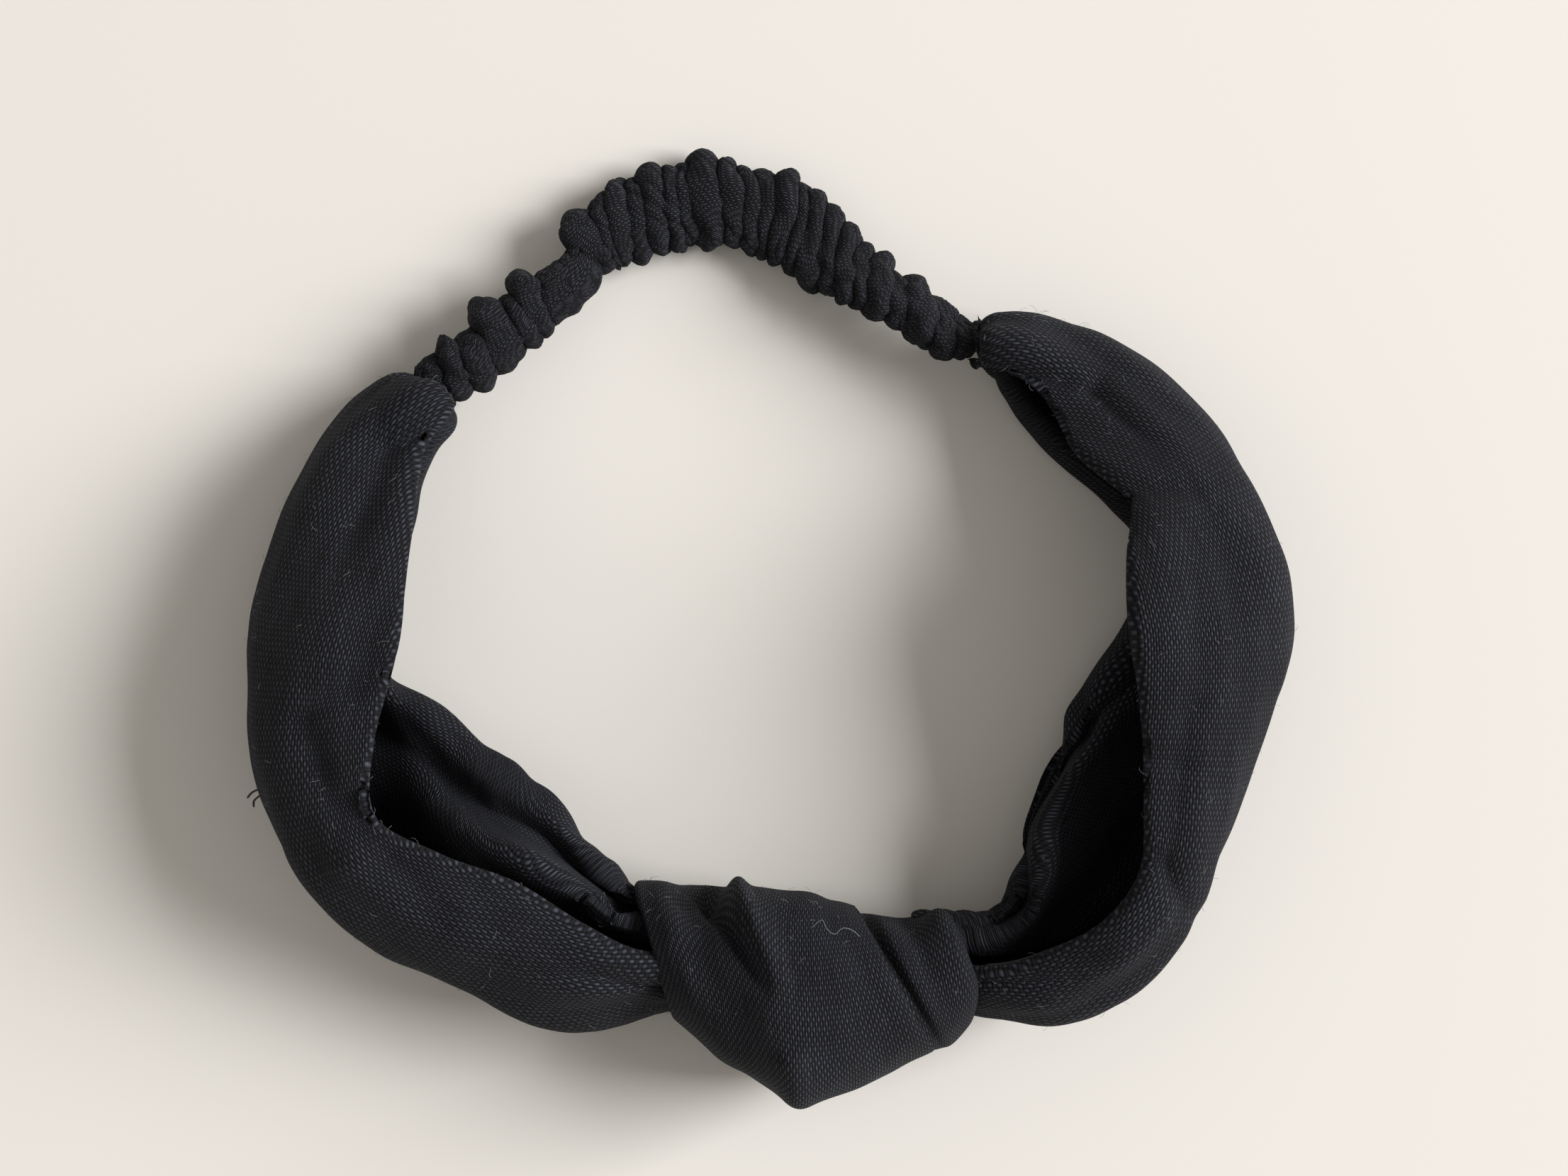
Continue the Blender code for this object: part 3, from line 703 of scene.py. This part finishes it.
# Along its middle, in mm: place, half width and half thickness, then its turn in degrees.
CASING = (
    (-63.5, 41.0, 10.2, 3.8, 2.4, 50),
    (-59.6, 44.8, 10.2, 5.0, 3.2, 46),
    (-54.4, 47.0, 9.6, 6.2, 4.2, 38),
    (-47.8, 52.4, 9.2, 6.1, 4.3, 34),
    (-41.2, 58.2, 9.0, 5.9, 4.1, 28),
    (-34.4, 63.4, 8.0, 4.3, 3.4, 18),
    (-30.0, 69.8, 6.5, 6.6, 3.3, 4),
    (-22.2, 74.2, 5.2, 8.0, 3.2, 0),
    (-13.7, 76.6, 4.8, 8.2, 3.1, 0),
    (-3.8, 76.0, 4.8, 8.2, 3.1, 0),
    (4.7, 72.6, 5.2, 8.2, 3.1, 0),
    (11.7, 66.7, 6.4, 7.2, 3.3, -10),
    (18.7, 61.8, 8.4, 6.0, 3.7, -28),
    (25.7, 57.3, 9.4, 5.6, 4.0, -36),
    (32.3, 53.2, 10.0, 5.4, 3.8, -44),
    (37.1, 51.9, 10.3, 4.2, 2.8, -56),
    (41.1, 51.6, 10.3, 3.6, 2.4, -60),
)
# Each crease between two gathers: its place on the outer edge and on the inner edge from 0 to 1
# along the casing, the height of the gather after it in mm, and its sideways bulge in mm.
CREASES = (
    (-0.02, -0.02, 0.6, 0.0), (0.040, 0.036, 0.8, 0.1), (0.085, 0.066, 1.9, 0.4), (0.128, 0.118, 1.0, -0.9),
    (0.172, 0.150, 2.1, 0.9), (0.211, 0.200, 1.0, -0.7), (0.236, 0.226, 1.9, 0.8), (0.262, 0.249, 1.5, -0.3),
    (0.344, 0.338, 1.7, 0.8), (0.385, 0.362, 1.2, 0.0), (0.408, 0.373, 1.5, 0.5), (0.432, 0.402, 1.2, -0.1),
    (0.448, 0.428, 1.7, 0.6), (0.474, 0.459, 1.3, -0.3), (0.490, 0.481, 0.9, 0.2), (0.500, 0.504, 2.0, 0.9),
    (0.528, 0.545, 1.4, 0.6), (0.547, 0.568, 1.1, -0.2), (0.562, 0.598, 1.2, -0.3), (0.583, 0.618, 1.7, 0.7),
    (0.609, 0.648, 1.2, 0.0), (0.622, 0.672, 1.5, 0.1), (0.640, 0.699, 1.3, 0.4), (0.668, 0.727, 1.7, 0.1),
    (0.702, 0.745, 1.1, -0.1), (0.728, 0.764, 1.7, 0.6), (0.760, 0.795, 0.8, -0.2), (0.781, 0.827, 1.7, 0.5),
    (0.820, 0.869, 1.5, -0.3), (0.880, 0.905, 1.3, -0.5), (0.936, 0.943, 1.2, 0.3), (0.975, 0.975, 0.6, 0.0),
    (1.02, 1.02, 0.6, 0.0),
)
CASING_STATIONS = 420
CASING_AROUND = 84
CASING_WALL = 0.5
CASING_SQUARENESS = 0.8
GATHER_SCALE = 1.45
CREASE_DEPTH = 2.35
FACE_DIP = 0.8
CASING_FLOOR = 0.3


def gather(place, side, angle):
    """The height and sideways bulge of the ruched cloth at one spot, side 1 being the outer edge."""
    wobble = 0.007 * noise.noise(Vector((place * 40, math.cos(angle) * 1.4, math.sin(angle) * 1.4)))
    lean = 0.5 + 0.5 * side
    marks = [outer * lean + inner * (1 - lean) + wobble for outer, inner, _, _ in CREASES]
    n = max(k for k in range(len(marks) - 1) if marks[k] <= place or k == 0)
    m = min(max((place - marks[n]) / (marks[n + 1] - marks[n]), 0.0), 1.0)
    hump = math.sin(math.pi * m) ** 0.5
    return CREASES[n][2] * hump, CREASES[n][3] * hump


def casing_frames():
    """Along the casing: its middle line, its directions, and its two half sizes."""
    rows = [smooth_row(CASING, i / (CASING_STATIONS - 1)) for i in range(CASING_STATIONS)]
    frames = []
    for i, row in enumerate(rows):
        ahead = Vector(rows[min(i + 4, len(rows) - 1)][:3]) - Vector(rows[max(i - 4, 0)][:3])
        ahead.normalize()
        level = Vector((0, 0, 1)).cross(ahead).normalized()
        upright = ahead.cross(level)
        turn = math.radians(row[5])
        wide = level * math.cos(turn) + upright * math.sin(turn)
        thick = upright * math.cos(turn) - level * math.sin(turn)
        frames.append((Vector(row[:3]), ahead, level, wide, thick, row[3], row[4]))
    return frames


FRAMES = casing_frames()
rings = np.zeros((CASING_STATIONS, CASING_AROUND, 3))
for i, (middle, ahead, level, wide, thick, half_wide, half_thick) in enumerate(FRAMES):
    place = i / (CASING_STATIONS - 1)
    for k in range(CASING_AROUND):
        angle = 2 * math.pi * k / CASING_AROUND
        across = math.copysign(abs(math.cos(angle)) ** CASING_SQUARENESS, math.cos(angle))
        through = math.copysign(abs(math.sin(angle)) ** CASING_SQUARENESS, math.sin(angle))
        height, bulge = gather(place, across, angle)
        ridged = abs(noise.noise(Vector((place * 46 + across * 1.6, across * 1.1, through * 0.9))))
        pucker = 1.1 * ridged - 0.3
        crinkle = 0.16 * noise.noise(Vector((place * 260, across * 9, through * 9)))
        depth = 0.42 + 0.58 * abs(across) ** 1.6
        swell = (GATHER_SCALE * height - CREASE_DEPTH) * depth - FACE_DIP * (1 - depth) + pucker + crinkle
        drift = 0.7 * noise.noise(Vector((place * 22, across * 2, through * 2 + 5)))
        spot = middle + wide * across * (half_wide + swell) + thick * through * (half_thick + 0.9 * swell)
        spot += level * bulge + ahead * drift
        rings[i, k] = (spot.x, spot.y, max(spot.z, CASING_FLOOR))
casing_normals = sheet_normals(np.concatenate([rings[:, -1:], rings, rings[:, :1]], axis=1))[:, 1:-1]
inside = rings - casing_normals * CASING_WALL
walls = np.concatenate([rings, inside[::-1]])
bm = bmesh.new()
grid = extrude_rings(bm, walls * MM)
for k in range(CASING_AROUND):
    j = (k + 1) % CASING_AROUND
    bm.faces.new((grid[-1][k], grid[-1][j], grid[0][j], grid[0][k]))
lay_cloth(bm, grid, cloth_grain(walls, CASING_AROUND // 4))
CASING_CLOTH = cloth_material("ruched casing linen", painted_gap_shade=(0.0010, 0.0010, 0.0016),
                              thread=(0.038, 0.041, 0.056), threads_per_metre=2350.0,
                              relief=0.00026, haze=0.018)
casing = make_piece("casing_cloth", bm, CASING_CLOTH)
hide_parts("elastic_casing")
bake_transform(casing)


# --- Elastic ----------------------------------------------------------------------------------
# A strip of black braided elastic runs inside the casing and is caught in both joins.

ELASTIC_HALF_WIDTH = 2.2
ELASTIC_HALF_THICKNESS = 0.35
CORNERS = ((1, 1), (-1, 1), (-1, -1), (1, -1))

bm = bmesh.new()
strip = []
for middle, _, _, wide, thick, _, _ in FRAMES[8:-8:4]:
    sides = [(wide * ELASTIC_HALF_WIDTH * a, thick * ELASTIC_HALF_THICKNESS * b) for a, b in CORNERS]
    strip.append([(middle + along_width + up) * MM for along_width, up in sides])
grid = extrude_rings(bm, strip)
for row in (grid[0], grid[-1]):
    bm.faces.new(row)
ELASTIC = thread_material("black braided elastic", (0.008, 0.008, 0.009), (0.04, 0.04, 0.045), 0.45)
elastic = make_piece("elastic_ribbon", bm, ELASTIC)
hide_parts("elastic_strip")
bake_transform(elastic)


# --- Sewing -----------------------------------------------------------------------------------
# The casing's own seam runs along its inner edge. At each join a row of short stitches holds the
# gathered arm to the casing, and another holds the gathers themselves.

STITCH_RADIUS = 0.22
STITCH_RISE = 0.12
STITCH_SPAN = 6
STITCH_GAP = 2
JOIN_RING = 11
JOIN_SPACING = 8
PLEAT_RING = 7
PLEAT_STITCH_SPACING = 8


def stitches(name, spots, node):
    """Short stitches of thread, each given as its start, its raised middle and its end in mm."""
    bm = bmesh.new()
    for start, middle, end in spots:
        path = [start, (start + middle * 2) / 3, middle, (end + middle * 2) / 3, end]
        add_tube(bm, path, STITCH_RADIUS, 5)
    piece = make_piece(name, bm, SEAM_THREAD)
    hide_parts(node)
    return piece


def casing_stitch(first, last, k):
    """A stitch laid along the casing's cloth from one ring to another."""
    a, b, c = (Vector(rings[i][k % CASING_AROUND]) for i in (first, (first + last) // 2, last))
    out = (b - FRAMES[(first + last) // 2][0]).normalized()
    return a - out * 0.2, b + out * STITCH_RISE, c - out * 0.2


starts = range(4, CASING_STATIONS - STITCH_SPAN - 4, STITCH_SPAN + STITCH_GAP)
seam_spots = [casing_stitch(i, i + STITCH_SPAN, CASING_AROUND // 2) for i in starts]
casing_seam = stitches("casing_seam_stitches", seam_spots, "casing_seam_thread")
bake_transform(casing_seam)

turns = range(0, CASING_AROUND, JOIN_SPACING)
left_spots = [casing_stitch(JOIN_RING, JOIN_RING + STITCH_SPAN, k) for k in turns]
left_join = stitches("left_join_stitches", left_spots, "left_join_stitching")
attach(left_join, "front_band")
last_ring = CASING_STATIONS - 1 - JOIN_RING
right_spots = [casing_stitch(last_ring - STITCH_SPAN, last_ring, k) for k in turns]
right_join = stitches("right_join_stitches", right_spots, "right_join_stitching")
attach(right_join, "front_band")


def pleat_stitches(name, outer, normals, node):
    """Stitches across the gathers round the mouth of an arm."""
    spots = []
    for k in range(ARM_ACROSS // 2, ARM_ACROSS - 3, PLEAT_STITCH_SPACING):
        a, b, c = (Vector(outer[PLEAT_RING, k + j]) for j in (0, 1, 2))
        out = Vector(normals[PLEAT_RING, k + 1])
        spots.append((a - out * 0.15, b + out * STITCH_RISE, c - out * 0.15))
    piece = stitches(name, spots, node)
    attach(piece, "front_band")
    return piece


left_pleats = pleat_stitches("left_pleat_stitches", left_outer, left_normals, "left_pleat_stitching")
right_pleats = pleat_stitches("right_pleat_stitches", right_outer, right_normals, "right_pleat_stitching")


# --- Loose thread and lint --------------------------------------------------------------------
# A short tuft of sewing thread stands out of the left arm's side. Fine fibres lift off the cloth
# all over, and one pale curly fibre lies on the knot.

TUFT_RADIUS = 0.20
FIBRE_RADIUS = 0.030
FIBRE_LENGTHS = (0.7, 2.2)
CURL_RADIUS = 0.045

# The paths of the loose thread's two plies and of the curly fibre, in mm.
TUFT = (
    ((-88.6, -28.8, 12.6), (-90.4, -29.2, 13.0), (-92.0, -29.8, 12.6), (-93.2, -31.0, 11.4)),
    ((-88.6, -29.2, 12.2), (-90.6, -30.4, 12.8), (-91.8, -31.4, 12.2), (-92.0, -32.6, 11.4)),
)
CURL = (
    (8.0, -51.6, 35.2), (9.8, -50.2, 35.6), (10.6, -51.6, 36.0), (12.0, -52.6, 35.8), (13.4, -51.6, 35.4),
    (15.0, -52.0, 35.0), (16.4, -53.2, 34.6),
)

bm = bmesh.new()
for strand in TUFT:
    add_tube(bm, [Vector(smooth_row(strand, i / 15)) for i in range(16)], TUFT_RADIUS, 6)
tuft = make_piece("loose_thread_tuft", bm, SEAM_THREAD)
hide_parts("loose_thread_end")
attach(tuft, "front_band")

LINT = thread_material("pale lint", (0.10, 0.105, 0.12), (0.34, 0.35, 0.38), 0.3)
random.seed(41)


def add_fibre(bm, root, out, length):
    """One fine fibre that starts in the cloth and curls away from it."""
    bend = Vector([random.uniform(-1, 1) for _ in range(3)])
    along = out.cross(bend).normalized()
    path = []
    for i in range(5):
        m = i / 4
        lift = 0.45 * math.sin(2.2 * m) - 0.04
        path.append(root + along * length * m + out * length * lift + bend * length * 0.25 * m * m)
    add_tube(bm, path, FIBRE_RADIUS, 3)


bm = bmesh.new()
for outer, normals, count in (
    (left_outer, left_normals, 230), (right_outer, right_normals, 230), (wrap_outer, wrap_normals, 110),
):
    for _ in range(count):
        i = random.randrange(4, outer.shape[0] - 12)
        k = random.randrange(int(outer.shape[1] * 0.3), outer.shape[1] - 3)
        if outer[i, k, 2] > 3.0:
            add_fibre(bm, Vector(outer[i, k]), Vector(normals[i, k]), random.uniform(*FIBRE_LENGTHS))
add_tube(bm, [Vector(smooth_row(CURL, i / 40)) for i in range(41)], CURL_RADIUS, 4)
lint = make_piece("lint_fibres", bm, LINT)
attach(lint, "front_band")
